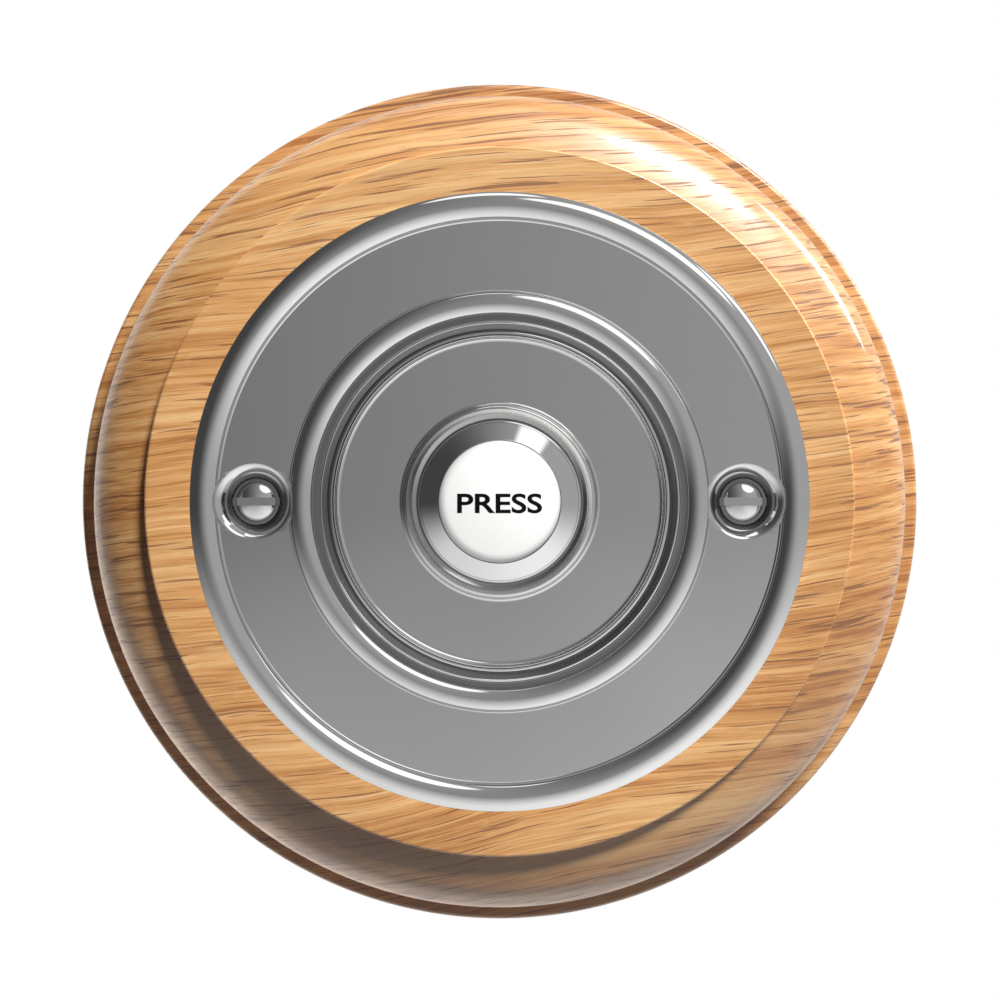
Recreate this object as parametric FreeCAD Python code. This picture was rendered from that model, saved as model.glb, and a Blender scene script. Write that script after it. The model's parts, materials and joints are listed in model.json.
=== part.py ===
"""Round doorbell push: a turned oak plinth, a chrome rose with a reeded throat, a screwed
centre cap with a ceramic push button, and the sprung contacts behind it.

The frame: the wall is the plane y = 0 and the push stands out of it towards -Y. +Z is up and
+X is to the right of someone who faces the door. The origin is the middle of the plinth's back.
Every turned piece has the same axis, so its section is drawn in two lengths: the radius from
that axis, and the reach, which is the distance out from the wall.
"""
import FreeCAD, Part
import math
import os

# Oak plinth, from the rose outwards and from the rose's collar inwards
PLINTH_REACH = 16.0
FACE_MARGIN = 5.7
ARRIS_ROUND = 0.3
QUIRK = 0.9
OVOLO_START_DEGREES = 14.0
OVOLO_BEND_DEGREES = 24.5
OVOLO_CROWN_RADIUS = 24.0
OVOLO_EDGE_RADIUS = 6.84
LEDGE_STEP = 1.6
LEDGE_WIDTH = 2.15
BASE_ROUND = 0.6
RECESS_CLEARANCE = 1.05
WIRE_HOLE_RADIUS = 5.0

# Screws that hold the plinth to the wall, hidden by the rose
WALL_SCREW_SPACING = 60.0
WALL_SCREW_HOLE_RADIUS = 2.25
WALL_SCREW_SINK_RADIUS = 4.4
WALL_SCREW_SINK_REACH = 9.0

# Rose, the chrome plate on the plinth's face. Its rises are measured from that face
ROSE_RADIUS = 38.0
RIM_BEAD_RADIUS = 1.65
RIM_BEAD_RISE = 0.7
FLAT_RISE = 1.2
RIM_FILLET = 0.6
THROAT_RADIUS = 20.4
UPPER_REED_RUN = 0.72
LOWER_REED_RUN = 0.87
REED_BACK_RUN = 0.33
REED_BACK_RISE = 0.4
REED_FALL = 1.2
THROAT_BEAD_RADIUS = 1.41
THROAT_BEAD_RISE = 2.29
THROAT_BEAD_END_DEGREES = 144.7
THROAT_FILLET = 0.75
CAP_SEAT_WIDTH = 1.35
COLLAR_WALL = 2.4
COLLAR_DEPTH = 4.0
CAP_SEAT_DEPTH = 0.6

# Screw cups in the rose and the two face screws
FACE_SCREW_INSET = 8.0
CUP_RADIUS = 4.8
CUP_SHOULDER = 1.0
CUP_TILT_DEGREES = 50.7
CUP_EDGE_DEGREES = 6.0
CUP_SEAT_RADIUS = 2.98
CUP_FLOOR = 0.8
CUP_WALL = 1.0
CUP_SCREW_HOLE_RADIUS = 1.75
HEAD_RADIUS = 2.93
HEAD_RIM = 0.35
HEAD_DOME_RADIUS = 4.4
HEAD_DOME_BASE_RADIUS = 2.45
SLOT_WIDTH = 1.0
SLOT_DEPTH = 0.85
FACE_SCREW_SHANK_RADIUS = 1.5
FACE_SCREW_LENGTH = 11.0
SCREW_POINT = 2.0
THREAD_CLEARANCE = 0.05
CUP_BOSS_CLEARANCE = 0.2

# Centre cap
CAP_CLEARANCE = 0.07
CAP_LIP = 0.24
CAP_LIP_RISE = 1.6
CAP_DISH_RISE = 0.95
CAP_DISH_FILLET = 0.6
CAP_THREAD_CLEARANCE = 0.05
CAP_SKIRT_WALL = 1.5
CAP_SKIRT_DEPTH = 3.4
CAP_PLATE = 1.55
BOSS_FOOT_RADIUS = 12.2
BOSS_FOOT_FILLET = 0.25
BOSS_RADIUS = 11.72
BOSS_CREST_ROUND = 0.48
BOSS_RISE = 2.85
FUNNEL_RUN = 1.3
FUNNEL_FALL = 1.09
REAR_BOSS_RADIUS = 11.8

# Bezel ring round the button
BEZEL_RADIUS = 9.9
BEZEL_FIT = 0.03
BEZEL_TILT_DEGREES = 33.0
BEZEL_SEAT_BELOW_FOOT = 0.95
BEZEL_SPIGOT_WALL = 1.71
BEZEL_SPIGOT = 1.4

# Push button and what is behind it
BUTTON_RADIUS = 7.38
BUTTON_CLEARANCE = 0.08
BUTTON_SHOULDER = 1.5
BUTTON_STAND = 0.2
BUTTON_EDGE_TILT_DEGREES = 16.0
FLANGE_RADIUS = 8.9
FLANGE_THICKNESS = 1.2
PRESS_TRAVEL = 1.5
PRESS_SPARE = 0.1
RETAINER_WALL = 2.6
RETAINER_THICKNESS = 0.9
RETAINER_LEDGE = 0.7
RETAINER_FIT = 0.03
PAD_STEM_RADIUS = 2.2
PAD_STEM_LENGTH = 2.5
PAD_RADIUS = 3.4
PAD_FIT = 0.03

# Contact base in the recess
BASE_CLEARANCE = 1.45
BASE_THICKNESS = 3.5
BASE_EDGE_CHAMFER = 0.5
BASE_WIRE_HOLE_RADIUS = 5.5
BASE_SCREW_INSET = 5.5
BASE_SCREW_SHANK_RADIUS = 1.2
BASE_SCREW_HEAD_RADIUS = 2.4
BASE_SCREW_HOLE_RADIUS = 1.4
BASE_SCREW_HEAD_CLEARANCE = 0.1
BASE_SCREW_END_REACH = 1.2
BASE_SCREW_SLOT = 0.7

# Terminals
TERMINAL_INSET = 7.0
TERMINAL_SHANK_RADIUS = 1.5
TERMINAL_HOLE_CLEARANCE = 0.1
TERMINAL_HEAD_RADIUS = 2.75
TERMINAL_HEAD_THICKNESS = 1.6
TERMINAL_SLOT_WIDTH = 0.8
TERMINAL_SLOT_DEPTH = 0.8
WASHER_RADIUS = 3.2
WASHER_THICKNESS = 0.5
NUT_ACROSS_FLATS = 5.5
NUT_THICKNESS = 2.0
NUT_POCKET_CLEARANCE = 0.1
NUT_POCKET_SPARE = 0.2

# Contact strips
LEAF_THICKNESS = 0.4
LEAF_CLEARANCE = 0.31
LEAF_WIDTH = 6.0
LEAF_FOOT_END = 3.2
LEAF_FOOT_RUN = 3.6
LEAF_RAMP_RUN = 5.0
LEAF_TIP_MARGIN = 1.0
STRIP_FOOT_END = 3.2
STRIP_MARGIN = 1.6
CONTACT_FROM_TERMINAL = 7.0
CONTACT_TIP_RADIUS = 1.0
CONTACT_TIP_RISE = 0.3

EDGE_ROUND = 0.2


class Section:
    """A closed outline in radius and reach, made of straight and round stretches."""

    def __init__(self, radius, reach):
        self.start = self.here = FreeCAD.Vector(radius, -reach, 0)
        self.edges = []

    def to(self, radius, reach):
        """Go straight to the next point."""
        point = FreeCAD.Vector(radius, -reach, 0)
        self.edges.append(Part.LineSegment(self.here, point).toShape())
        self.here = point
        return self

    def turn(self, centre_radius, centre_reach, size, begin, end):
        """Go straight to an arc, then round it. Angles in degrees: 0 is outwards, 90 is off the wall."""
        points = []
        for angle in (begin, (begin + end) / 2, end):
            across = centre_radius + size * math.cos(math.radians(angle))
            out = centre_reach + size * math.sin(math.radians(angle))
            points.append(FreeCAD.Vector(across, -out, 0))
        if (points[0] - self.here).Length > 1e-6:
            self.to(points[0].x, -points[0].y)
        self.edges.append(Part.Arc(*points).toShape())
        self.here = points[-1]
        return self

    def face(self):
        """Close the outline and fill it."""
        if (self.here - self.start).Length > 1e-6:
            self.to(self.start.x, -self.start.y)
        return Part.Face(Part.Wire(self.edges))

    def revolve(self, x=0.0, z=0.0):
        """Turn the outline round an axis that stands off the wall at x, z."""
        solid = self.face().revolve(FreeCAD.Vector(0, 0, 0), FreeCAD.Vector(0, 1, 0), 360)
        solid.translate(FreeCAD.Vector(x, 0, z))
        return solid


def rod(radius, low, high, x=0.0, z=0.0):
    """A cylinder between two reaches, its axis off the wall at x, z."""
    return Part.makeCylinder(radius, high - low, FreeCAD.Vector(x, -low, z), FreeCAD.Vector(0, -1, 0))


def block(x0, x1, low, high, z0, z1):
    """A box between two reaches."""
    return Part.makeBox(x1 - x0, high - low, z1 - z0, FreeCAD.Vector(x0, -high, z0))


def hexagon(across_flats, low, high, x, z):
    """A six-sided prism between two reaches."""
    corner = across_flats / 2 / math.cos(math.radians(30))
    points = []
    for step in range(7):
        angle = math.radians(60 * step)
        points.append(FreeCAD.Vector(x + corner * math.cos(angle), -low, z + corner * math.sin(angle)))
    return Part.Face(Part.makePolygon(points)).extrude(FreeCAD.Vector(0, low - high, 0))


def circle_meets(offset_rise, reach_sum):
    """How far apart across the axis two touching circles are, from their difference in reach."""
    return math.sqrt(reach_sum ** 2 - offset_rise ** 2)


# Radii and reaches that several pieces share
ARRIS_RADIUS = ROSE_RADIUS + FACE_MARGIN
OVOLO_START = math.radians(OVOLO_START_DEGREES)
OVOLO_BEND = math.radians(OVOLO_BEND_DEGREES)
CROWN_RADIUS = ARRIS_RADIUS - OVOLO_CROWN_RADIUS * math.sin(OVOLO_START)
CROWN_REACH = PLINTH_REACH - QUIRK - OVOLO_CROWN_RADIUS * math.cos(OVOLO_START)
OVOLO_EASE = OVOLO_CROWN_RADIUS - OVOLO_EDGE_RADIUS
EDGE_RADIUS = CROWN_RADIUS + OVOLO_EASE * math.sin(OVOLO_BEND)
LIP_REACH = CROWN_REACH + OVOLO_EASE * math.cos(OVOLO_BEND)
LIP_RADIUS = EDGE_RADIUS + OVOLO_EDGE_RADIUS
LEDGE_REACH = LIP_REACH - LEDGE_STEP
PLINTH_RADIUS = LIP_RADIUS + LEDGE_WIDTH
COLLAR_BORE_RADIUS = THROAT_RADIUS - CAP_SEAT_WIDTH
COLLAR_RADIUS = COLLAR_BORE_RADIUS + COLLAR_WALL
RECESS_RADIUS = COLLAR_RADIUS + RECESS_CLEARANCE
BASE_RADIUS = RECESS_RADIUS - BASE_CLEARANCE
FACE = PLINTH_REACH
FLAT = FACE + FLAT_RISE
CAP_SEAT = FACE - CAP_SEAT_DEPTH
DISH = FACE + CAP_DISH_RISE
BOSS_TOP = FACE + BOSS_RISE
CUP_SLOPE = math.radians(CUP_TILT_DEGREES)
CUP_EDGE = math.radians(CUP_EDGE_DEGREES)
CUP_SHOULDER_RADIUS = CUP_RADIUS + CUP_SHOULDER * math.sin(CUP_EDGE)
CUP_SHOULDER_REACH = FLAT - CUP_SHOULDER * math.cos(CUP_EDGE)
CUP_CONE_RADIUS = CUP_SHOULDER_RADIUS - CUP_SHOULDER * math.sin(CUP_SLOPE)
CUP_CONE_TOP = CUP_SHOULDER_REACH + CUP_SHOULDER * math.cos(CUP_SLOPE)
CUP_CONE_FOOT = CUP_CONE_TOP - (CUP_CONE_RADIUS - CUP_SEAT_RADIUS) * math.tan(CUP_SLOPE)
HEAD_SEAT = CUP_CONE_FOOT - HEAD_RIM
CUP_BOSS_END = HEAD_SEAT - CUP_FLOOR
CUP_BOSS_RADIUS = CUP_SEAT_RADIUS + CUP_WALL
FUNNEL_TOP_RADIUS = BEZEL_RADIUS + BEZEL_FIT + FUNNEL_RUN
FUNNEL_FOOT = BOSS_TOP - FUNNEL_FALL
BEZEL_BORE = BUTTON_RADIUS + BUTTON_CLEARANCE
BEZEL_TOP = FUNNEL_FOOT + (BEZEL_RADIUS - BEZEL_BORE) * math.tan(math.radians(BEZEL_TILT_DEGREES))
BEZEL_SEAT = FUNNEL_FOOT - BEZEL_SEAT_BELOW_FOOT
BEZEL_END = BEZEL_SEAT - BEZEL_SPIGOT
SPIGOT_RADIUS = BEZEL_BORE + BEZEL_SPIGOT_WALL
FLANGE_END = BEZEL_END - FLANGE_THICKNESS
RETAINER_TOP = FLANGE_END - PRESS_TRAVEL - PRESS_SPARE
RETAINER_END = RETAINER_TOP - RETAINER_THICKNESS
CAP_BORE = SPIGOT_RADIUS + BEZEL_FIT
RETAINER_RADIUS = CAP_BORE + RETAINER_LEDGE
LEAF_FRONT = RETAINER_END - LEAF_CLEARANCE
LEAF_BACK = LEAF_FRONT - LEAF_THICKNESS
STRIP_TOP = LEAF_BACK - 2 * CONTACT_TIP_RISE - PRESS_TRAVEL
BASE_TOP = STRIP_TOP - LEAF_THICKNESS
RECESS_FLOOR_REACH = BASE_TOP - BASE_THICKNESS
WASHER_TOP = STRIP_TOP + WASHER_THICKNESS
FACE_SCREWS = {"left": FACE_SCREW_INSET - ROSE_RADIUS, "right": ROSE_RADIUS - FACE_SCREW_INSET}
TERMINALS = {"left": TERMINAL_INSET - BASE_RADIUS, "right": BASE_RADIUS - TERMINAL_INSET}
BASE_SCREWS = {"upper": BASE_RADIUS - BASE_SCREW_INSET, "lower": BASE_SCREW_INSET - BASE_RADIUS}
CONTACT_X = TERMINALS["right"] - CONTACT_FROM_TERMINAL
LEAF_TIP_X = CONTACT_X + LEAF_TIP_MARGIN


def plinth():
    """The turned oak block: a quirk and an ovolo on a plain base, hollowed for the contacts."""
    start = 90 - OVOLO_START_DEGREES
    bend = 90 - OVOLO_BEND_DEGREES
    outline = Section(WIRE_HOLE_RADIUS, 0)
    outline.to(WIRE_HOLE_RADIUS, RECESS_FLOOR_REACH)
    outline.to(RECESS_RADIUS, RECESS_FLOOR_REACH)
    outline.to(RECESS_RADIUS, PLINTH_REACH)
    outline.turn(ARRIS_RADIUS - ARRIS_ROUND, PLINTH_REACH - ARRIS_ROUND, ARRIS_ROUND, 90, 0)
    outline.turn(CROWN_RADIUS, CROWN_REACH, OVOLO_CROWN_RADIUS, start, bend)
    outline.turn(EDGE_RADIUS, LIP_REACH, OVOLO_EDGE_RADIUS, bend, 0)
    outline.to(LIP_RADIUS, LEDGE_REACH)
    outline.turn(PLINTH_RADIUS - BASE_ROUND, LEDGE_REACH - BASE_ROUND, BASE_ROUND, 90, 0)
    outline.turn(PLINTH_RADIUS - BASE_ROUND, BASE_ROUND, BASE_ROUND, 0, -90)
    solid = outline.revolve()
    for side in (-1, 1):
        z = side * WALL_SCREW_SPACING / 2
        solid = solid.cut(rod(WALL_SCREW_HOLE_RADIUS, -1, WALL_SCREW_SINK_REACH + 1, 0, z))
        solid = solid.cut(rod(WALL_SCREW_SINK_RADIUS, WALL_SCREW_SINK_REACH, PLINTH_REACH + 1, 0, z))
    for x in FACE_SCREWS.values():
        depth = HEAD_SEAT - FACE_SCREW_LENGTH - THREAD_CLEARANCE
        solid = solid.cut(rod(FACE_SCREW_SHANK_RADIUS + THREAD_CLEARANCE, depth, PLINTH_REACH + 1, x))
        boss_hole = CUP_BOSS_RADIUS + CUP_BOSS_CLEARANCE
        solid = solid.cut(rod(boss_hole, CUP_BOSS_END - CUP_BOSS_CLEARANCE, PLINTH_REACH + 1, x))
    for z in BASE_SCREWS.values():
        pilot = BASE_SCREW_SHANK_RADIUS + THREAD_CLEARANCE
        end = BASE_SCREW_END_REACH - THREAD_CLEARANCE
        solid = solid.cut(rod(pilot, end, RECESS_FLOOR_REACH + 1, 0, z))
    return solid


def cup_tool(x):
    """What the cutter takes out of the rose for one screw: cup, seat and screw hole."""
    outline = Section(0, CUP_BOSS_END - 1)
    outline.to(CUP_SCREW_HOLE_RADIUS, CUP_BOSS_END - 1)
    outline.to(CUP_SCREW_HOLE_RADIUS, HEAD_SEAT)
    outline.to(CUP_SEAT_RADIUS, HEAD_SEAT)
    outline.to(CUP_SEAT_RADIUS, CUP_CONE_FOOT)
    shoulder_end = 90 + CUP_EDGE_DEGREES
    outline.turn(CUP_SHOULDER_RADIUS, CUP_SHOULDER_REACH, CUP_SHOULDER, 90 + CUP_TILT_DEGREES, shoulder_end)
    outline.to(CUP_RADIUS, FLAT + THROAT_BEAD_RISE)
    outline.to(0, FLAT + THROAT_BEAD_RISE)
    return outline.revolve(x)


def rose():
    """The cast front plate: beaded rim, flat ring, inner bead, reeded throat and rear collar."""
    rim_centre = ROSE_RADIUS - RIM_BEAD_RADIUS
    rim_drop = FLAT_RISE + RIM_FILLET - RIM_BEAD_RISE
    rim_gap = circle_meets(rim_drop, RIM_BEAD_RADIUS + RIM_FILLET)
    rim_angle = math.degrees(math.atan2(rim_drop, rim_gap))
    lower_reed = THROAT_RADIUS + REED_BACK_RUN + LOWER_REED_RUN
    upper_reed = lower_reed + REED_BACK_RUN + UPPER_REED_RUN
    bead_end = math.radians(THROAT_BEAD_END_DEGREES)
    bead_crest_radius = upper_reed - THROAT_BEAD_RADIUS * math.cos(bead_end)
    bead_centre = FACE + THROAT_BEAD_RISE
    valley = bead_centre + THROAT_BEAD_RADIUS * math.sin(bead_end) - REED_FALL
    fillet_centre = bead_crest_radius + THROAT_BEAD_RADIUS + THROAT_FILLET
    outline = Section(ROSE_RADIUS, FACE)
    outline.turn(rim_centre, FACE + RIM_BEAD_RISE, RIM_BEAD_RADIUS, 0, 180 - rim_angle)
    outline.turn(rim_centre - rim_gap, FLAT + RIM_FILLET, RIM_FILLET, -rim_angle, -90)
    outline.turn(fillet_centre, FLAT + THROAT_FILLET, THROAT_FILLET, 270, 180)
    outline.turn(bead_crest_radius, bead_centre, THROAT_BEAD_RADIUS, 0, THROAT_BEAD_END_DEGREES)
    outline.to(upper_reed - UPPER_REED_RUN, valley)
    outline.to(lower_reed, valley + REED_BACK_RISE)
    valley = valley + REED_BACK_RISE - REED_FALL
    outline.to(lower_reed - LOWER_REED_RUN, valley)
    outline.to(THROAT_RADIUS, valley + REED_BACK_RISE)
    outline.to(THROAT_RADIUS, CAP_SEAT)
    outline.to(COLLAR_BORE_RADIUS, CAP_SEAT)
    outline.to(COLLAR_BORE_RADIUS, FACE - COLLAR_DEPTH)
    outline.to(COLLAR_RADIUS, FACE - COLLAR_DEPTH)
    outline.to(COLLAR_RADIUS, FACE)
    solid = outline.revolve()
    for x in FACE_SCREWS.values():
        solid = solid.fuse(rod(CUP_BOSS_RADIUS, CUP_BOSS_END, FACE + FLAT_RISE / 2, x))
        solid = solid.cut(cup_tool(x))
    return solid.removeSplitter()


def slot_cut(x, z, width, depth, top, radius):
    """The cut that makes a straight screwdriver slot, lying along X."""
    return block(x - radius - 1, x + radius + 1, top - depth, top + 1, z - width / 2, z + width / 2)


def face_screw(x):
    """A slotted round-head wood screw, seated in its cup."""
    rim = HEAD_SEAT + HEAD_RIM
    tilt = math.degrees(math.asin(HEAD_DOME_BASE_RADIUS / HEAD_DOME_RADIUS))
    dome_centre = rim - HEAD_DOME_RADIUS * math.cos(math.radians(tilt))
    top = dome_centre + HEAD_DOME_RADIUS
    end = HEAD_SEAT - FACE_SCREW_LENGTH
    outline = Section(0, end)
    outline.to(FACE_SCREW_SHANK_RADIUS, end + SCREW_POINT)
    outline.to(FACE_SCREW_SHANK_RADIUS, HEAD_SEAT)
    outline.to(HEAD_RADIUS, HEAD_SEAT)
    outline.turn(HEAD_RADIUS - HEAD_RIM / 2, rim - HEAD_RIM / 2, HEAD_RIM / 2, 0, 90)
    outline.to(HEAD_DOME_BASE_RADIUS, rim)
    outline.turn(0, dome_centre, HEAD_DOME_RADIUS, 90 - tilt, 90)
    return outline.revolve(x).cut(slot_cut(x, 0, SLOT_WIDTH, SLOT_DEPTH, top, HEAD_RADIUS))


def centre_cap():
    """The dished disc that screws into the rose's collar and carries the button."""
    radius = THROAT_RADIUS - CAP_CLEARANCE
    lip_inner = radius - CAP_LIP
    lip_top = FACE + CAP_LIP_RISE
    skirt_radius = COLLAR_BORE_RADIUS - CAP_THREAD_CLEARANCE
    skirt_inner = skirt_radius - CAP_SKIRT_WALL
    skirt_end = CAP_SEAT - CAP_SKIRT_DEPTH
    under = DISH - CAP_PLATE
    bezel_hole = BEZEL_RADIUS + BEZEL_FIT
    retainer_hole = RETAINER_RADIUS + RETAINER_FIT
    outline = Section(radius, CAP_SEAT)
    outline.to(radius, lip_top - CAP_LIP / 2)
    outline.turn(radius - CAP_LIP / 2, lip_top - CAP_LIP / 2, CAP_LIP / 2, 0, 180)
    outline.turn(lip_inner - CAP_DISH_FILLET, DISH + CAP_DISH_FILLET, CAP_DISH_FILLET, 0, -90)
    outline.turn(BOSS_FOOT_RADIUS, DISH + BOSS_FOOT_FILLET, BOSS_FOOT_FILLET, 270, 180)
    outline.turn(BOSS_RADIUS - BOSS_CREST_ROUND, BOSS_TOP - BOSS_CREST_ROUND, BOSS_CREST_ROUND, 0, 90)
    outline.to(FUNNEL_TOP_RADIUS, BOSS_TOP)
    outline.to(bezel_hole, FUNNEL_FOOT)
    outline.to(bezel_hole, BEZEL_SEAT)
    outline.to(CAP_BORE, BEZEL_SEAT)
    outline.to(CAP_BORE, RETAINER_TOP)
    outline.to(retainer_hole, RETAINER_TOP)
    outline.to(retainer_hole, RETAINER_END)
    outline.to(REAR_BOSS_RADIUS, RETAINER_END)
    outline.to(REAR_BOSS_RADIUS, under)
    outline.to(skirt_inner, under)
    outline.to(skirt_inner, skirt_end)
    outline.to(skirt_radius, skirt_end)
    outline.to(skirt_radius, CAP_SEAT)
    return outline.revolve()


def button_bezel():
    """The polished cone ring that is pressed into the cap and stops the button's flange."""
    outline = Section(BEZEL_BORE, BEZEL_END)
    outline.to(SPIGOT_RADIUS, BEZEL_END)
    outline.to(SPIGOT_RADIUS, BEZEL_SEAT)
    outline.to(BEZEL_RADIUS, BEZEL_SEAT)
    outline.to(BEZEL_RADIUS, FUNNEL_FOOT)
    outline.to(BEZEL_BORE, BEZEL_TOP)
    return outline.revolve()


def push_button():
    """The glazed ceramic button: a domed face, a flange behind the bezel and a socket for the pad."""
    edge = BEZEL_TOP + BUTTON_STAND
    tilt = math.radians(BUTTON_EDGE_TILT_DEGREES)
    shoulder_centre = BUTTON_RADIUS - BUTTON_SHOULDER
    dome_edge = shoulder_centre + BUTTON_SHOULDER * math.sin(tilt)
    dome_radius = dome_edge / math.sin(tilt)
    dome_centre = edge + (BUTTON_SHOULDER - dome_radius) * math.cos(tilt)
    socket = PAD_STEM_RADIUS + PAD_FIT
    socket_end = FLANGE_END + PAD_STEM_LENGTH + PAD_FIT
    outline = Section(socket, FLANGE_END)
    outline.to(FLANGE_RADIUS, FLANGE_END)
    outline.to(FLANGE_RADIUS, BEZEL_END)
    outline.to(BUTTON_RADIUS, BEZEL_END)
    outline.turn(shoulder_centre, edge, BUTTON_SHOULDER, 0, 90 - BUTTON_EDGE_TILT_DEGREES)
    outline.turn(0, dome_centre, dome_radius, 90 - BUTTON_EDGE_TILT_DEGREES, 90)
    outline.to(0, socket_end)
    outline.to(socket, socket_end)
    return outline.revolve()


def thrust_pad():
    """The fibre stud in the button's back that bears on the spring leaf."""
    outline = Section(0, LEAF_FRONT)
    outline.to(PAD_RADIUS, LEAF_FRONT)
    outline.to(PAD_RADIUS, FLANGE_END)
    outline.to(PAD_STEM_RADIUS, FLANGE_END)
    outline.to(PAD_STEM_RADIUS, FLANGE_END + PAD_STEM_LENGTH)
    outline.to(0, FLANGE_END + PAD_STEM_LENGTH)
    return outline.revolve()


def button_retainer():
    """The ring pressed into the cap's back, which keeps the button in."""
    bore = RETAINER_RADIUS - RETAINER_WALL
    ring = rod(RETAINER_RADIUS, RETAINER_END, RETAINER_TOP)
    return ring.cut(rod(bore, RETAINER_END - 1, RETAINER_TOP + 1))


def contact_base():
    """The black moulded disc that carries the terminals, with pockets for their nuts."""
    outline = Section(BASE_WIRE_HOLE_RADIUS, RECESS_FLOOR_REACH)
    outline.to(BASE_WIRE_HOLE_RADIUS, BASE_TOP)
    outline.to(BASE_RADIUS - BASE_EDGE_CHAMFER, BASE_TOP)
    outline.to(BASE_RADIUS, BASE_TOP - BASE_EDGE_CHAMFER)
    outline.to(BASE_RADIUS, RECESS_FLOOR_REACH)
    solid = outline.revolve()
    pocket = RECESS_FLOOR_REACH + NUT_POCKET_SPARE + NUT_THICKNESS
    for x in TERMINALS.values():
        hole = TERMINAL_SHANK_RADIUS + TERMINAL_HOLE_CLEARANCE
        solid = solid.cut(rod(hole, RECESS_FLOOR_REACH - 1, BASE_TOP + 1, x))
        across = NUT_ACROSS_FLATS + 2 * NUT_POCKET_CLEARANCE
        solid = solid.cut(hexagon(across, RECESS_FLOOR_REACH - 1, pocket, x, 0))
    for z in BASE_SCREWS.values():
        solid = solid.cut(rod(BASE_SCREW_HOLE_RADIUS, RECESS_FLOOR_REACH - 1, BASE_TOP + 1, 0, z))
        solid = solid.cut(countersink(z, BASE_SCREW_HOLE_RADIUS, BASE_SCREW_HEAD_CLEARANCE))
    return solid


def countersink(z, throat_radius, clearance):
    """A right-angled cone whose mouth is at the contact base's front face."""
    mouth = BASE_SCREW_HEAD_RADIUS + clearance
    outline = Section(0, BASE_TOP - mouth + throat_radius)
    outline.to(throat_radius, BASE_TOP - mouth + throat_radius)
    outline.to(mouth, BASE_TOP)
    outline.to(0, BASE_TOP)
    return outline.revolve(0, z)


def base_screw(z):
    """A small countersunk wood screw through the contact base."""
    end = BASE_SCREW_END_REACH
    head_foot = BASE_TOP - BASE_SCREW_HEAD_RADIUS + BASE_SCREW_SHANK_RADIUS
    outline = Section(0, end)
    outline.to(BASE_SCREW_SHANK_RADIUS, end + SCREW_POINT)
    outline.to(BASE_SCREW_SHANK_RADIUS, head_foot)
    outline.to(BASE_SCREW_HEAD_RADIUS, BASE_TOP)
    outline.to(0, BASE_TOP)
    slot = slot_cut(0, z, BASE_SCREW_SLOT, BASE_SCREW_SLOT, BASE_TOP, BASE_SCREW_HEAD_RADIUS)
    return outline.revolve(0, z).cut(slot)


def terminal_screw(x):
    """A slotted cheese-head screw that clamps a wire, a washer and a contact strip."""
    top = WASHER_TOP + TERMINAL_HEAD_THICKNESS
    end = RECESS_FLOOR_REACH + NUT_POCKET_SPARE
    outline = Section(0, end)
    outline.to(TERMINAL_SHANK_RADIUS, end)
    outline.to(TERMINAL_SHANK_RADIUS, WASHER_TOP)
    outline.to(TERMINAL_HEAD_RADIUS, WASHER_TOP)
    outline.turn(TERMINAL_HEAD_RADIUS - EDGE_ROUND, top - EDGE_ROUND, EDGE_ROUND, 0, 90)
    outline.to(0, top)
    slot = slot_cut(x, 0, TERMINAL_SLOT_WIDTH, TERMINAL_SLOT_DEPTH, top, TERMINAL_HEAD_RADIUS)
    return outline.revolve(x).cut(slot)


def terminal_washer(x):
    """A plain washer under a terminal screw's head."""
    hole = TERMINAL_SHANK_RADIUS + TERMINAL_HOLE_CLEARANCE
    return rod(WASHER_RADIUS, STRIP_TOP, WASHER_TOP, x).cut(rod(hole, STRIP_TOP - 1, WASHER_TOP + 1, x))


def terminal_nut(x):
    """The hexagonal nut in the back of the contact base."""
    top = RECESS_FLOOR_REACH + NUT_POCKET_SPARE + NUT_THICKNESS
    low = RECESS_FLOOR_REACH + NUT_POCKET_SPARE
    nut = hexagon(NUT_ACROSS_FLATS, low, top, x, 0)
    return nut.cut(rod(TERMINAL_SHANK_RADIUS + THREAD_CLEARANCE, low - 1, top + 1, x))


def spring_leaf():
    """The bronze strip that pushes the button out, cranked up from its foot to lie under the pad."""
    foot_start = TERMINALS["left"] - LEAF_FOOT_END
    foot_end = TERMINALS["left"] + LEAF_FOOT_RUN
    ramp_end = foot_end + LEAF_RAMP_RUN
    back = [(foot_start, BASE_TOP), (foot_end, BASE_TOP), (ramp_end, LEAF_BACK), (LEAF_TIP_X, LEAF_BACK)]
    front = [(x, reach + LEAF_THICKNESS) for x, reach in reversed(back)]
    corners = [FreeCAD.Vector(x, -reach, -LEAF_WIDTH / 2) for x, reach in back + front]
    blank = Part.Face(Part.makePolygon(corners + corners[:1]))
    leaf = blank.extrude(FreeCAD.Vector(0, 0, LEAF_WIDTH))
    hole = TERMINAL_SHANK_RADIUS + TERMINAL_HOLE_CLEARANCE
    leaf = leaf.cut(rod(hole, BASE_TOP - 1, STRIP_TOP + 1, TERMINALS["left"]))
    upright = [edge for edge in leaf.Edges if is_bend(edge, foot_end, ramp_end)]
    return leaf.makeFillet(LEAF_THICKNESS, upright)


def is_bend(edge, foot_end, ramp_end):
    """Whether an edge of the leaf runs along Z at one of its two bends."""
    first = edge.Vertexes[0].Point
    last = edge.Vertexes[-1].Point
    along_z = abs(abs(first.z - last.z) - LEAF_WIDTH) < 1e-6
    at_bend = min(abs(first.x - foot_end), abs(first.x - ramp_end)) < 1e-6
    return along_z and at_bend


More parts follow.
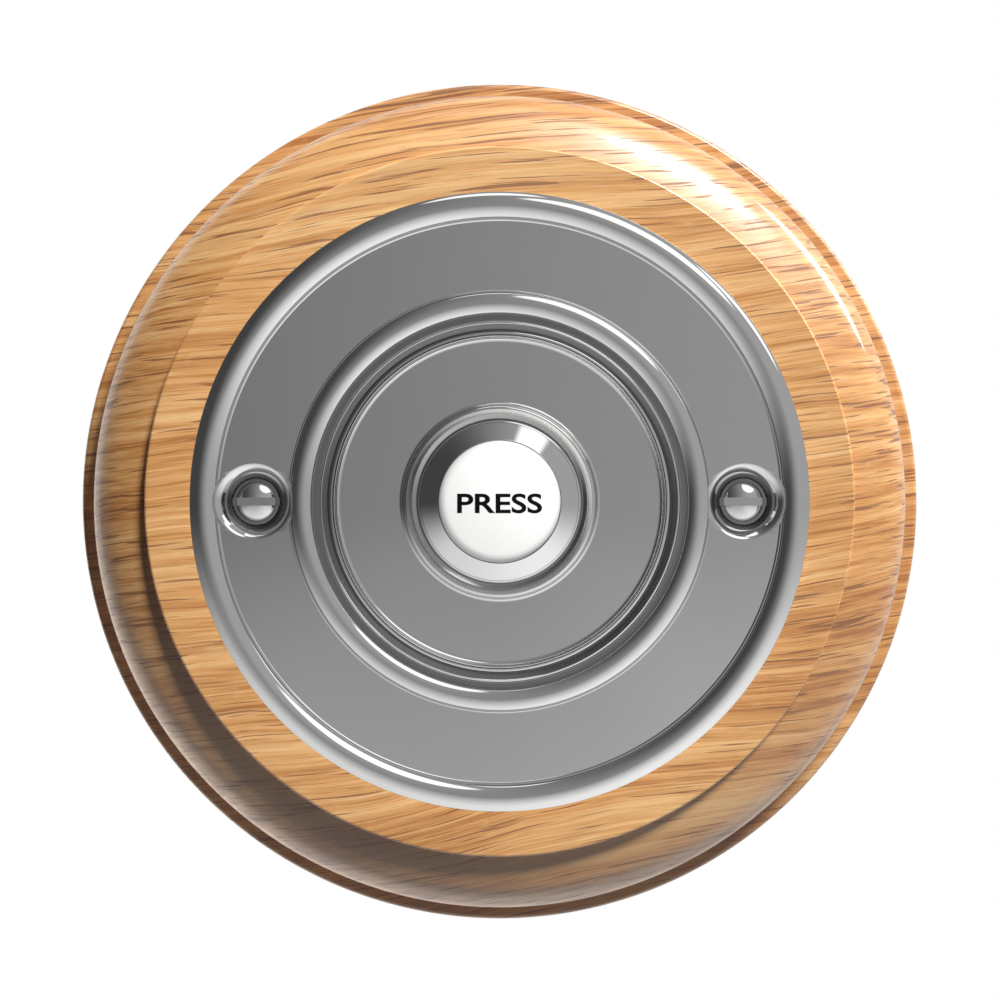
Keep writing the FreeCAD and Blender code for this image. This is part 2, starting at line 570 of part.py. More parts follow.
def fixed_contact():
    """The flat brass strip that the leaf touches when the button is pressed."""
    strip = block(
        CONTACT_X - STRIP_MARGIN, TERMINALS["right"] + STRIP_FOOT_END,
        BASE_TOP, STRIP_TOP, -LEAF_WIDTH / 2, LEAF_WIDTH / 2,
    )
    hole = TERMINAL_SHANK_RADIUS + TERMINAL_HOLE_CLEARANCE
    return strip.cut(rod(hole, BASE_TOP - 1, STRIP_TOP + 1, TERMINALS["right"]))


def contact_tip(seat, outwards):
    """A low silver contact button on a strip."""
    low, high = (seat, seat + CONTACT_TIP_RISE) if outwards else (seat - CONTACT_TIP_RISE, seat)
    return rod(CONTACT_TIP_RADIUS, low, high, CONTACT_X)


def export(name, shape):
    """Write one piece and print its volume."""
    if not shape.isValid() or len(shape.Solids) != 1:
        raise ValueError(name + " isn't one sound solid")
    shape.Solids[0].exportStep("parts/" + name + ".step")
    print(name, round(shape.Volume, 3))


os.makedirs("parts", exist_ok=True)
export("plinth", plinth())
export("rose", rose())
export("centre_cap", centre_cap())
export("button_bezel", button_bezel())
export("button_retainer", button_retainer())
export("push_button", push_button())
export("thrust_pad", thrust_pad())
export("contact_base", contact_base())
export("spring_leaf", spring_leaf())
export("fixed_contact", fixed_contact())
export("leaf_contact_tip", contact_tip(LEAF_BACK, False))
export("fixed_contact_tip", contact_tip(STRIP_TOP, True))
for side, x in FACE_SCREWS.items():
    export("face_screw_" + side, face_screw(x))
for side, x in TERMINALS.items():
    export("terminal_screw_" + side, terminal_screw(x))
    export("terminal_washer_" + side, terminal_washer(x))
    export("terminal_nut_" + side, terminal_nut(x))
for side, z in BASE_SCREWS.items():
    export("base_screw_" + side, base_screw(z))
print("button's face stands", round(BEZEL_TOP - FACE, 2), "mm and more off the plinth")
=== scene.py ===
# %% [markdown]
# # A round doorbell push
#
# The real object is a turned oak plinth that is screwed to the wall. A chrome rose lies on its
# face, and a chrome cap screws into the rose's middle and carries a ceramic push button. The
# engineering model is loaded first, and every piece made here goes where that model says.

# %% Load the engineering model
import json
import math

import bmesh
import bpy
from mathutils import Matrix, Vector

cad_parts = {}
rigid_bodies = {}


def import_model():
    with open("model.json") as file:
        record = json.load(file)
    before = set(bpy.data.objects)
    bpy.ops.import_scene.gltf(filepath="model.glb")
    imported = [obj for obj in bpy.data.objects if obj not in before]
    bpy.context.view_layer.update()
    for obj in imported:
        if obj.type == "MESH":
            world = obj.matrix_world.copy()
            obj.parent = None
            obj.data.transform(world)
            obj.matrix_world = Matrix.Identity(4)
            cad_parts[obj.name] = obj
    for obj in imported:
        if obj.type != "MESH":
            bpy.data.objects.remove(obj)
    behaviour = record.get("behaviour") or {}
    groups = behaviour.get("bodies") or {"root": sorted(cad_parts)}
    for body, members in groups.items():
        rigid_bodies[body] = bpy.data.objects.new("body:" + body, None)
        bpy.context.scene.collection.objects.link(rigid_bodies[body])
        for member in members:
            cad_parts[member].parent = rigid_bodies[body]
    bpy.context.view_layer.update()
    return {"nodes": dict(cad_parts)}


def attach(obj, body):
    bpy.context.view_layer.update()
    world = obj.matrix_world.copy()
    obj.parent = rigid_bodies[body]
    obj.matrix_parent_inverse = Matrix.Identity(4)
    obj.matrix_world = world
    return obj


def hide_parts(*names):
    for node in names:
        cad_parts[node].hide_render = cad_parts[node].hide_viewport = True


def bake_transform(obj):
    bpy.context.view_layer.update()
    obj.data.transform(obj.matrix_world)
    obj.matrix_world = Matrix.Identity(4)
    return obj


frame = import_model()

# %% [markdown]
# ## Drawing half sections
#
# Nearly every piece of this object comes off a lathe, so it is drawn as a lathe hand draws it:
# a half section, measured as a radius from the axis and a reach out from the wall. In Blender
# the section is a chain of edges. A round stretch is one point swung by the spin operator, and
# a slightly broken corner is a vertex bevel. A full spin then makes the solid.

# %% The half section
MM = 0.001
ROUND = 320


class Section:
    """A half section in millimetres, in the plane of the lathe's axis."""

    def __init__(self, radius, reach, soft=0.0):
        self.mesh = bmesh.new()
        self.soft = {}
        self.first = self.tip = self.mark(self.mesh.verts.new((radius, -reach, 0)), soft)

    def mark(self, point, soft):
        """Note how far this corner is broken."""
        if soft:
            self.soft.setdefault(soft, []).append(point)
        return point

    def to(self, radius, reach, soft=0.0):
        """Go straight to the next point."""
        point = self.mark(self.mesh.verts.new((radius, -reach, 0)), soft)
        self.mesh.edges.new((self.tip, point))
        self.tip = point
        return self

    def turn(self, radius, reach, degrees, steps):
        """Swing round a centre; positive degrees go from outwards to off the wall."""
        swung = bmesh.ops.spin(
            self.mesh, geom=[self.tip], cent=(radius, -reach, 0), axis=(0, 0, 1),
            angle=math.radians(-degrees), steps=steps,
        )
        self.tip = next(item for item in swung["geom_last"] if isinstance(item, bmesh.types.BMVert))
        return self

    def round(self, radius, reach, size, first, last, steps=10):
        """Go straight to a round and follow it, from one tilt of its face to another.

        A tilt is 0 where the face looks off the wall and 90 where it looks outwards. A hollow
        has a negative size.
        """
        tilt = math.radians(first)
        self.to(radius + size * math.sin(tilt), reach + size * math.cos(tilt))
        return self.turn(radius, reach, first - last, steps)

    def spin(self, name, steps=ROUND, x=0.0, z=0.0):
        """Break the marked corners, turn the section right round, and place the piece."""
        if max(self.first.co.x, self.tip.co.x) > 0:
            self.mesh.edges.new((self.tip, self.first))
        for size, corners in self.soft.items():
            bmesh.ops.bevel(
                self.mesh, geom=corners, offset=size, segments=3, affect="VERTICES",
                profile=0.5, material=-1,
            )
        bmesh.ops.spin(
            self.mesh, geom=self.mesh.verts[:] + self.mesh.edges[:], cent=(0, 0, 0),
            axis=(0, 1, 0), angle=2 * math.pi, steps=steps, use_merge=True,
        )
        bmesh.ops.remove_doubles(self.mesh, verts=self.mesh.verts, dist=1e-4)
        bmesh.ops.translate(self.mesh, verts=self.mesh.verts, vec=(x, 0, z))
        return finished(self.mesh, name)


def finished(mesh, name):
    """Put a bmesh drawn in millimetres into the scene, in metres, with its faces outwards."""
    bmesh.ops.scale(mesh, verts=mesh.verts, vec=(MM, MM, MM))
    bmesh.ops.recalc_face_normals(mesh, faces=mesh.faces)
    data = bpy.data.meshes.new(name)
    mesh.to_mesh(data)
    mesh.free()
    piece = bpy.data.objects.new(name, data)
    bpy.context.collection.objects.link(piece)
    return piece


def shade(piece, degrees=24):
    """Smooth the curves, keep the creases, and let the wide faces rule the shading."""
    for face in piece.data.polygons:
        face.use_smooth = True
    piece.data.set_sharp_from_angle(angle=math.radians(degrees))
    weighted = piece.modifiers.new("wide faces", "WEIGHTED_NORMAL")
    weighted.keep_sharp = True
    weighted.weight = 90
    print(piece.name, len(piece.data.vertices), "points,", len(piece.data.polygons), "faces")


def carve(piece, tool, operation="DIFFERENCE", solver="MANIFOLD"):
    """Cut one closed solid with another, or join them, and throw the tool away."""
    cut = piece.modifiers.new("carve", "BOOLEAN")
    cut.object = tool
    cut.operation = operation
    cut.solver = solver
    cut_mesh = bpy.data.meshes.new_from_object(piece.evaluated_get(bpy.context.evaluated_depsgraph_get()))
    piece.modifiers.clear()
    piece.data = cut_mesh
    bpy.data.objects.remove(tool)


def drill(radius, low, high, x=0.0, z=0.0, steps=64):
    """A round tool between two reaches, for holes."""
    return Section(0, low).to(radius, low).to(radius, high).to(0, high).spin("drill", steps, x, z)


# %% [markdown]
# ## Shader sums
#
# A finish is worked out by small nodes that add, multiply and compare. Written as sums on a
# wrapped socket they read like ordinary maths, and each operator puts one Math node in the
# tree. Every other node is made by one method, which sets the node's choices first and then
# its sockets.

# %% Finishes as sums
class Wire:
    """One output socket, on which sums can be done."""

    def __init__(self, finish, socket):
        self.finish = finish
        self.socket = socket

    def sum(self, operation, *others):
        return self.finish.node("Math", {"operation": operation}, dict(enumerate(others)))

    def __add__(self, other):
        return self.sum("ADD", self, other)

    def __sub__(self, other):
        return self.sum("SUBTRACT", self, other)

    def __rsub__(self, other):
        return self.sum("SUBTRACT", other, self)

    def __mul__(self, other):
        return self.sum("MULTIPLY", self, other)

    def __truediv__(self, other):
        return self.sum("DIVIDE", self, other)

    def __pow__(self, other):
        return self.sum("POWER", self, other)

    __radd__ = __add__
    __rmul__ = __mul__


class Finish:
    """A material and the nodes that work it out."""

    def __init__(self, name):
        self.data = bpy.data.materials.new(name)
        self.data.use_nodes = True
        self.tree = self.data.node_tree
        self.tree.nodes.clear()

    def node(self, kind, settings=None, values=None, output=0):
        """Add a node: its choices, its sockets, and the output that is wanted."""
        made = self.tree.nodes.new("ShaderNode" + kind)
        for name, value in (settings or {}).items():
            if name == "stops":
                self.fill(made.color_ramp, value)
            else:
                setattr(made, name, value)
        for name, value in (values or {}).items():
            if isinstance(value, Wire):
                self.tree.links.new(value.socket, made.inputs[name])
            else:
                made.inputs[name].default_value = value
        return Wire(self, made.outputs[output])

    def fill(self, ramp, stops):
        """Give a ramp its stops, each a place and a colour."""
        for place, colour in stops[2:]:
            ramp.elements.new(place)
        for element, (place, colour) in zip(ramp.elements, stops):
            element.position = place
            element.color = (*colour, 1)

    def place(self, scale=(1000, 1000, 1000), turn=(0, 0, 0)):
        """Object coordinates in millimetres, turned and stretched."""
        here = self.node("TexCoord", output="Object")
        radians = tuple(math.radians(angle) for angle in turn)
        turned = self.node("Mapping", {"vector_type": "POINT"}, {"Vector": here, "Rotation": radians})
        return self.node("VectorMath", {"operation": "MULTIPLY"}, {0: turned, 1: scale})

    def noise(self, place, scale, detail=3.0, roughness=0.5, distortion=0.0):
        """Soft random patches between 0 and 1."""
        return self.node(
            "TexNoise", {"normalize": True},
            {"Vector": place, "Scale": scale, "Detail": detail, "Roughness": roughness,
             "Distortion": distortion},
        )

    def ease(self, value, low, high, start=0.0, end=1.0):
        """A soft step from start to end as the value goes from low to high."""
        return self.node(
            "MapRange", {"interpolation_type": "SMOOTHSTEP"},
            {"Value": value, "From Min": low, "From Max": high, "To Min": start, "To Max": end},
        )

    def mix(self, factor, first, second, blend="MIX"):
        """Mix two colours."""
        settings = {"data_type": "RGBA", "blend_type": blend}
        return self.node("Mix", settings, {0: factor, 6: first, 7: second}, output=2)

    def bump(self, height, distance, strength=1.0):
        """A Bump node for a height between 0 and 1 that stands for a distance in millimetres."""
        return self.node("Bump", None, {"Height": height, "Distance": distance * MM, "Strength": strength})

    def surface(self, **values):
        """Close the finish with one Principled surface."""
        named = {
            name.replace("_", " ").title().replace("Ior", "IOR"): value
            for name, value in values.items()
        }
        shader = self.node("BsdfPrincipled", None, named)
        self.node_output(shader)
        return self.data

    def node_output(self, shader):
        """Join a shader to the material's output."""
        out = self.tree.nodes.new("ShaderNodeOutputMaterial")
        self.tree.links.new(shader.socket, out.inputs["Surface"])


def rgb(red, green, blue):
    """A display colour of 0 to 255, as the linear colour that a socket takes."""
    linear = []
    for part in (red, green, blue):
        part = part / 255
        linear.append(part / 12.92 if part <= 0.04045 else ((part + 0.055) / 1.055) ** 2.4)
    return tuple(linear)


# %% [markdown]
# ## Oak
#
# Oak is worked out in the solid, so that a moulding cuts through the same fibres as the face
# does. The board is cut nearly along its rays: the growth rings stand almost upright in it, so
# they cross the face as long lines that run along the grain, rise a little to the right, and
# wander. Between the lines lie streaks of fibre. Oak's large vessels are cut open as dark
# dashes, thickest at the start of each ring. The turned edge is coloured a little darker than
# the face and the back. A clear lacquer lies over all of it.

# %% The oak finish
GRAIN_TILT = 8.0
RING = 3.4


def oak():
    wood = Finish("lacquered oak")
    grain = wood.place(turn=(0, GRAIN_TILT, 0))
    split = wood.node("SeparateXYZ", None, {0: grain}).socket.node.outputs
    along, depth, across = (Wire(wood, split[axis]) for axis in range(3))

    def streaks(place, x, y, z, detail, roughness=0.5, distortion=0.0):
        """Noise drawn out along the grain; the numbers are waves per millimetre."""
        pulled = wood.node("VectorMath", {"operation": "MULTIPLY"}, {0: place, 1: (x, y, z)})
        return wood.noise(pulled, 1.0, detail, roughness, distortion)

    bend = (streaks(grain, 0.011, 0.008, 0.016, 1.0) - 0.5) * 14.0
    wander = (streaks(grain, 0.035, 0.02, 0.07, 2.0) - 0.5) * 2.6
    level = across + bend + wander
    flow = wood.node("CombineXYZ", None, {0: along, 1: depth, 2: level})
    outward = level * 0.93 + depth * 0.36 + level * level * 0.0016
    ring = wood.node("Math", {"operation": "FRACT"}, {0: outward / RING})
    early = wood.ease(ring, 0.0, 0.10) * wood.ease(ring, 0.55, 0.10)
    strength = wood.ease(streaks(flow, 0.012, 0.05, 0.09, 2.0), 0.40, 0.62)

    broad = streaks(flow, 0.010, 0.03, 0.13, 2.0)
    fibre = streaks(flow, 0.022, 0.12, 1.1, 4.0, 0.64)
    fine = streaks(flow, 0.09, 0.35, 5.0, 3.0, 0.65)
    vessel = streaks(flow, 0.075, 0.25, 3.0, 2.0, 0.5)
    pore = wood.ease(vessel + early * strength * 0.10, 0.60, 0.655)
    fleck = wood.ease(streaks(flow, 0.16, 0.35, 6.5, 2.0, 0.5), 0.58, 0.66)
    ripple = wood.ease(streaks(flow, 0.30, 0.25, 0.9, 2.0, 0.5, 0.4), 0.60, 0.74)

    tone = (broad - 0.5) * 1.0 + (fibre - 0.5) * 1.5 + (fine - 0.5) * 0.9 + 0.5
    colour = wood.node(
        "ValToRGB",
        {"stops": [(0.15, rgb(172, 112, 58)), (0.38, rgb(206, 147, 86)), (0.55, rgb(222, 167, 106)),
                   (0.80, rgb(238, 192, 134))]},
        {0: tone},
    )
    colour = wood.mix(early * strength * 0.5, colour, (*rgb(176, 114, 60), 1))
    colour = wood.mix(ripple * 0.2, colour, (*rgb(242, 200, 144), 1))
    colour = wood.mix(fleck * 0.3, colour, (*rgb(158, 100, 54), 1))
    colour = wood.mix(pore * 0.8, colour, (*rgb(120, 72, 36), 1))
    here = wood.place()
    flat = wood.node("VectorMath", {"operation": "MULTIPLY"}, {0: here, 1: (1, 0, 1)})
    radius = wood.node("VectorMath", {"operation": "LENGTH"}, {0: flat}, output="Value")
    reach = wood.node("VectorMath", {"operation": "DOT_PRODUCT"}, {0: here, 1: (0, -1, 0)}, output="Value")
    turned = wood.ease(radius, 43.7, 44.0) * wood.ease(reach, 0.05, 0.5)
    colour = wood.mix(turned, colour, (0.85, 0.82, 0.78, 1), "MULTIPLY")
    relief = fine * 0.35 + fibre * 0.15 + (1 - pore) * 0.5
    return wood.surface(
        base_color=colour, roughness=0.40 + pore * 0.2, normal=wood.bump(relief, 0.05, 0.4),
        coat_weight=0.9, coat_roughness=0.09,
    )


OAK = oak()
print("finish:", OAK.name, len(OAK.node_tree.nodes), "nodes")

# %% [markdown]
# ## Chrome
#
# Plated brass is a mirror. Its colour is nearly neutral, and noise varies the roughness a
# little, where hands and polish have been. Plate goes on thin in a narrow groove and the mop
# never reaches it, so the rose is rougher between its reeds and deep in its screw cups. There,
# and round the rims of the screw heads, its colour is also darkened with painted shade, for the
# shade that falls in those narrow recesses.

# %% The chrome finish
def chrome(name, grooves=(), cups=()):
    """Mirror plate, rougher in rings round the push's axis and round the screws' axes, where painted shade also
    darkens it.
    """
    plate = Finish(name)
    place = plate.place()
    cloud = plate.noise(place, 0.12, 3.0)
    speck = plate.noise(place, 1.7, 2.0)
    tint = plate.mix(cloud, (0.62, 0.62, 0.615, 1), (0.59, 0.59, 0.585, 1))
    rough = 0.035 + cloud * 0.02 + speck * 0.01
    flat = plate.node("VectorMath", {"operation": "MULTIPLY"}, {0: place, 1: (1, 0, 1)})
    rings = [((0, 0, 0), ring) for ring in grooves] + [((30, 0, 0), ring) for ring in cups]
    for axis, (low, high, painted_shade) in rings:
        beside = plate.node("VectorMath", {"operation": "ABSOLUTE"}, {0: flat})
        radius = plate.node("VectorMath", {"operation": "DISTANCE"}, {0: beside, 1: axis}, output="Value")
        inside = plate.ease(radius, low - 0.02, low + 0.02) * plate.ease(radius, high + 0.02, high - 0.02)
        # painted shade: the plate's colour is darkened towards black inside each ring
        tint = plate.mix(inside * painted_shade, tint, (0.0, 0.0, 0.0, 1))
        rough = rough + inside * 0.3
    return plate.surface(base_color=tint, metallic=1.0, roughness=rough)


# Each ring gives an inner and an outer radius in millimetres and how strongly painted shade darkens the plate
# between them.
CHROME = chrome("chrome plate")
ROSE_CHROME = chrome("chrome plate with grooves", [(20.92, 21.68, 0.7), (22.12, 22.84, 0.6)], [(1.6, 3.5, 0.72)])
SCREW_CHROME = chrome("chrome plate on screws", (), [(2.34, 3.0, 0.6)])
for material in (CHROME, ROSE_CHROME, SCREW_CHROME):
    print("finish:", material.name, len(material.node_tree.nodes), "nodes")

# %% [markdown]
# ## Glazed ceramic
#
# The button is white earthenware under a clear glaze: a very slightly warm body, a clean coat
# of gloss, and a surface that isn't perfectly even.

# %% The ceramic finish
def ceramic():
    glaze = Finish("glazed ceramic")
    place = glaze.place()
    cloud = glaze.noise(place, 0.25, 2.0)
    speck = glaze.ease(glaze.noise(place, 5.0, 1.0), 0.70, 0.82)
    body = glaze.mix(cloud, (*rgb(240, 240, 238), 1), (*rgb(236, 236, 234), 1))
    body = glaze.mix(speck * 0.12, body, (*rgb(205, 200, 192), 1))
    return glaze.surface(
        base_color=body, roughness=0.20 + cloud * 0.06, normal=glaze.bump(cloud, 0.02, 0.3),
        coat_weight=0.6, coat_roughness=0.05,
    )


CERAMIC = ceramic()
print("finish:", CERAMIC.name, len(CERAMIC.node_tree.nodes), "nodes")


# %% [markdown]
# ## The parts behind
#
# The contacts are seldom seen, but they are real parts with real finishes: turned brass,
# bronze strip with its rolled grain, silver contacts, zinc-plated steel, a black moulding and
# a brown fibre stud.

# %% Metals and mouldings for the contacts
def metal(name, colour, shine, grain):
    """A bare metal with fine scratches along the way it was rolled or turned."""
    strip = Finish(name)
    scratch = strip.noise(strip.place(scale=grain), 1.0, 3.0, 0.6)
    stain = strip.noise(strip.place(), 0.3, 2.0)
    tint = strip.mix(stain, (*colour, 1), tuple(part * 0.82 for part in colour) + (1,))
    return strip.surface(
        base_color=tint, metallic=1.0, roughness=shine + scratch * 0.12,
        normal=strip.bump(scratch, 0.01, 0.5),
    )


def moulding(name, dark, light, rough, grain):
    """A moulded or pressed material with a fine grain."""
    body = Finish(name)
    pit = body.noise(body.place(), grain, 3.0)
    cloud = body.noise(body.place(), 0.2, 2.0)
    return body.surface(
        base_color=body.mix(cloud, (*dark, 1), (*light, 1)), roughness=rough + pit * 0.15,
        normal=body.bump(pit, 0.03, 0.5),
    )


BRASS = metal("turned brass", rgb(214, 178, 104), 0.22, (2, 9, 2))
BRONZE = metal("rolled bronze strip", rgb(205, 148, 96), 0.24, (0.6, 6, 9))
SILVER = metal("silver contact", rgb(222, 220, 214), 0.2, (5, 5, 5))
ZINC = metal("zinc-plated steel", rgb(190, 194, 198), 0.3, (4, 4, 4))
BLACK = moulding("black moulding", rgb(26, 25, 24), rgb(34, 32, 31), 0.32, 3.0)
FIBRE = moulding("pressed fibre", rgb(118, 74, 48), rgb(142, 94, 62), 0.7, 1.5)
NODE_FINISHES = {
    "button_retainer": BRASS, "fixed_contact": BRASS, "thrust_pad": FIBRE, "contact_base": BLACK,
    "leaf_contact_tip": SILVER, "fixed_contact_tip": SILVER,
    "base_screw_upper": ZINC, "base_screw_lower": ZINC,
}
for side in ("left", "right"):
    for part in ("terminal_screw_", "terminal_washer_", "terminal_nut_"):
        NODE_FINISHES[part + side] = BRASS
for node, material in NODE_FINISHES.items():
    for slot in frame["nodes"][node].material_slots:
        slot.material = material
print("finished", len(NODE_FINISHES), "parts behind the cap")


def dress(piece, material, slot, body, *nodes):
    """Give a piece its finish, its body and the solid that it stands for; its slot is not used."""
    piece.data.materials.clear()
    piece.data.materials.append(material)
    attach(piece, body)
    if nodes:
        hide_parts(*nodes)


# %% [markdown]
# ## The plinth
#
# A faceplate turning: a flat face, a small step down to an ovolo that starts gently and ends
# upright, and a plain ledge that stands on the wall. It is spun from its half section, and the
# holes that a drill makes are cut after. The recess behind the cap, the clearances for the
# screw cups and the pilots are the real ones.

# %% Turn and drill the plinth
FACE = 16.0
ARRIS_RADIUS = 43.7
ARRIS = 0.3
QUIRK = 1.2
CROWN = 24.0
CROWN_START = 14.0
CROWN_END = 24.5
EDGE = 6.84

crown_radius = ARRIS_RADIUS - CROWN * math.sin(math.radians(CROWN_START))
crown_reach = FACE - QUIRK - CROWN * math.cos(math.radians(CROWN_START))
edge_radius = crown_radius + (CROWN - EDGE) * math.sin(math.radians(CROWN_END))
lip_reach = crown_reach + (CROWN - EDGE) * math.cos(math.radians(CROWN_END))
ledge = lip_reach - 1.6
base_radius = edge_radius + EDGE + 2.15
turning = Section(5.0, 0, soft=0.15).to(5.0, 5.0, soft=0.1).to(22.5, 5.0)
turning.to(22.5, FACE, soft=0.2).to(ARRIS_RADIUS - ARRIS, FACE)
turning.turn(ARRIS_RADIUS - ARRIS, FACE - ARRIS, -90, 5)
turning.to(ARRIS_RADIUS, FACE - QUIRK).turn(crown_radius, crown_reach, CROWN_START - CROWN_END, 10)
turning.turn(edge_radius, lip_reach, CROWN_END - 90, 24)
turning.to(edge_radius + EDGE, ledge).to(base_radius - 0.6, ledge)
turning.turn(base_radius - 0.6, ledge - 0.6, -90, 6)
turning.to(base_radius, 0.6).turn(base_radius - 0.6, 0.6, -90, 6)
plinth = turning.spin("oak_plinth")
for z in (-30, 30):
    carve(plinth, drill(2.25, -1, 10, z=z))
    carve(plinth, drill(4.4, 9, 17, z=z))
for x in (-30, 30):
    carve(plinth, drill(1.55, 4.03, 17, x=x))
    carve(plinth, drill(4.18, 14.08, 17, x=x))
for z in (-15.55, 15.55):
    carve(plinth, drill(1.25, 1.15, 6, z=z))
shade(plinth, 30)
dress(plinth, OAK, "oak", "fixed", "plinth")

# %% [markdown]
# ## The rose
#
# The front plate is one casting: a rounded rim, a flat ring, a full inner bead and two reeds
# that step down to the cap. Its mirror finish shows every flat, so each bead is a true arc.
# The two screw cups are cut with a tool of their own shape.

# %% Turn the rose and cut its cups
FLAT = 17.2
CUP_X = 30.0
casting = Section(38.0, FACE).to(38.0, 16.6)
casting.round(36.16, 16.23, 2.12, 50, -43.5, 36)
casting.round(34.53, 16.975, 0.355, 25, -50, 12)
casting.to(25.86, FLAT).round(25.68, FLAT, 0.18, 85, -60)
casting.to(25.50, 17.0).to(25.39, 17.0)
casting.round(25.04, 18.116, 0.35, 90, 29.8, 8).turn(24.16, 16.58, 61.5, 32)
casting.turn(23.231, 18.086, 58.3, 8)
casting.to(22.86, 17.55).round(21.73, 17.55, 0.35, 90, 0)
casting.round(20.54, 17.155, 0.35, 90, 0)
casting.to(20.40, 17.505)
casting.to(20.40, 15.4).to(19.05, 15.4).to(19.05, 12.0).to(21.45, 12.0).to(21.45, FACE)
rose = casting.spin("rose_plate")
for x in (-CUP_X, CUP_X):
    carve(rose, drill(3.98, 14.283, 16.6, x=x), "UNION")
    cup = Section(0, 13.0).to(1.75, 13.0).to(1.75, 15.083).to(2.98, 15.083).to(2.98, 15.433)
    cup.to(4.271, 17.010).turn(4.9045, 16.2055, -44.7, 10)
    cup.to(4.8, 20.0).to(0, 20.0)
    carve(rose, cup.spin("cup tool", 128, x=x))
shade(rose)
rose.visible_shadow = False
dress(rose, ROSE_CHROME, "chrome_plate", "fixed", "rose")

# %% [markdown]
# ## Face screws
#
# Two plated round-head screws sit in the cups, their slots in line. The head is a shallow
# dome on a thin rim, and the slot is cut right across it.

# %% Turn the face screws and cut their slots
def slot_tool(x, top, width, depth, reach):
    """The block that a slitting saw takes out along X."""
    mesh = bmesh.new()
    bmesh.ops.create_cube(mesh, size=1)
    bmesh.ops.scale(mesh, verts=mesh.verts, vec=(2 * reach, depth + 2, width))
    bmesh.ops.translate(mesh, verts=mesh.verts, vec=(x, -(top - depth + (depth + 2) / 2), 0))
    return finished(mesh, "slitting saw")


for side, x in (("left", -CUP_X), ("right", CUP_X)):
    screw = Section(0, 4.083).to(1.5, 6.083).to(1.5, 15.083).to(2.93, 15.083)
    screw.to(2.93, 15.258).turn(2.755, 15.258, 90, 6)
    screw.to(2.45, 15.433).turn(0, 11.778, 33.84, 14)
    head = screw.spin("face_screw_head_" + side, 128, x=x)
    carve(head, slot_tool(x, 16.178, 1.0, 0.85, 4), solver="EXACT")
    shade(head, 22)
    dress(head, SCREW_CHROME, "chrome_plate", "fixed", "face_screw_" + side)

# %% [markdown]
# ## The centre cap and its bezel
#
# The cap is a thin-lipped dish with a raised boss. A cone ring is pressed into the boss, and
# the button stands in that ring. Both are turned, and the narrow joint between them is real.

# %% Turn the centre cap
DISH = 16.95
dished = Section(20.33, 15.4).to(20.33, 17.48).turn(20.21, 17.48, 180, 8)
dished.to(20.09, 17.55).turn(19.49, 17.55, -90, 10)
dished.round(12.3, DISH + 0.5, -0.5, 0, 75).round(11.24, 18.12, 0.48, 75, 0)
dished.to(11.23, 18.60).to(9.93, 17.62, soft=0.04).to(9.93, 16.81).to(9.20, 16.81)
dished.to(9.20, 12.61).to(9.93, 12.61).to(9.93, 11.71).to(11.8, 11.71).to(11.8, 15.4)
dished.to(17.5, 15.4).to(17.5, 12.0).to(19.0, 12.0).to(19.0, 15.4)
cap = dished.spin("cap_disc")
shade(cap)
dress(cap, CHROME, "chrome_plate", "fixed", "centre_cap")

# %% Turn the bezel ring
cone = Section(7.46, 15.41).to(9.17, 15.41).to(9.17, 16.81).to(9.9, 16.81)
cone.round(9.944, 18.327, -0.5, 5, 33).to(7.46, 19.345, soft=0.08)
bezel = cone.spin("bezel_cone", 256)
shade(bezel)
dress(bezel, CHROME, "chrome_plate", "fixed", "button_bezel")

# %% [markdown]
# ## The push button
#
# A domed ceramic stud with a soft shoulder. The flange behind the bezel keeps it in, and the
# hole in its back takes the fibre stud.

# %% Turn the button
DOME = 22.832
DOME_CENTRE = -0.961
stud = Section(2.23, 14.21).to(8.9, 14.21, soft=0.1).to(8.9, 15.41, soft=0.1).to(7.38, 15.41)
stud.to(7.38, 19.545).turn(5.88, 19.545, 74, 14)
stud.turn(0, DOME_CENTRE, 16, 24)
stud.to(0, 16.74).to(2.23, 16.74)
button = stud.spin("ceramic_button", 256)
shade(button, 30)
dress(button, CERAMIC, "ceramic", "button", "push_button")

# %% [markdown]
# ## The word on the button
#
# A bell push says what to do with it. The word is printed under the glaze in plain black
# capitals. It starts as a text object, is made a mesh, and is cut into a fine grid so that it
# can bend. Each point is then laid on the dome, a hair above the glaze, and given a thickness.

# %% Lay the word on the dome
WORD_WIDTH = 10.15
WORD_HEIGHT = 2.38
WORD_DROP = 0.22

text = bpy.data.curves.new("word", "FONT")
text.body = "PRESS"
text.size = 1.0
text.offset = 0.02
text.space_character = 1.0
text.align_x = "CENTER"
text.resolution_u = 8
text_object = bpy.data.objects.new("word", text)
bpy.context.collection.objects.link(text_object)
bpy.context.view_layer.update()
word_data = bpy.data.meshes.new_from_object(
    text_object.evaluated_get(bpy.context.evaluated_depsgraph_get())
)
bpy.data.objects.remove(text_object)
letters = bmesh.new()
letters.from_mesh(word_data)
bmesh.ops.remove_doubles(letters, verts=letters.verts, dist=1e-5)
low = Vector((min(v.co[axis] for v in letters.verts) for axis in range(3)))
high = Vector((max(v.co[axis] for v in letters.verts) for axis in range(3)))
bmesh.ops.translate(letters, verts=letters.verts, vec=-(low + high) / 2)
size = high - low
bmesh.ops.scale(letters, verts=letters.verts, vec=(WORD_WIDTH / size.x, WORD_HEIGHT / size.y, 1))
for axis, half in ((0, WORD_WIDTH / 2), (1, WORD_HEIGHT / 2)):
    for step in range(int(-half / 0.3), int(half / 0.3) + 1):
        normal = Vector((0, 0, 0))
        normal[axis] = 1
        bmesh.ops.bisect_plane(
            letters, geom=letters.verts[:] + letters.edges[:] + letters.faces[:],
            plane_co=normal * step * 0.3, plane_no=normal,
        )
bmesh.ops.rotate(letters, verts=letters.verts, cent=(0, 0, 0), matrix=Matrix.Rotation(math.radians(90), 3, "X"))
bmesh.ops.translate(letters, verts=letters.verts, vec=(0, 0, -WORD_DROP))
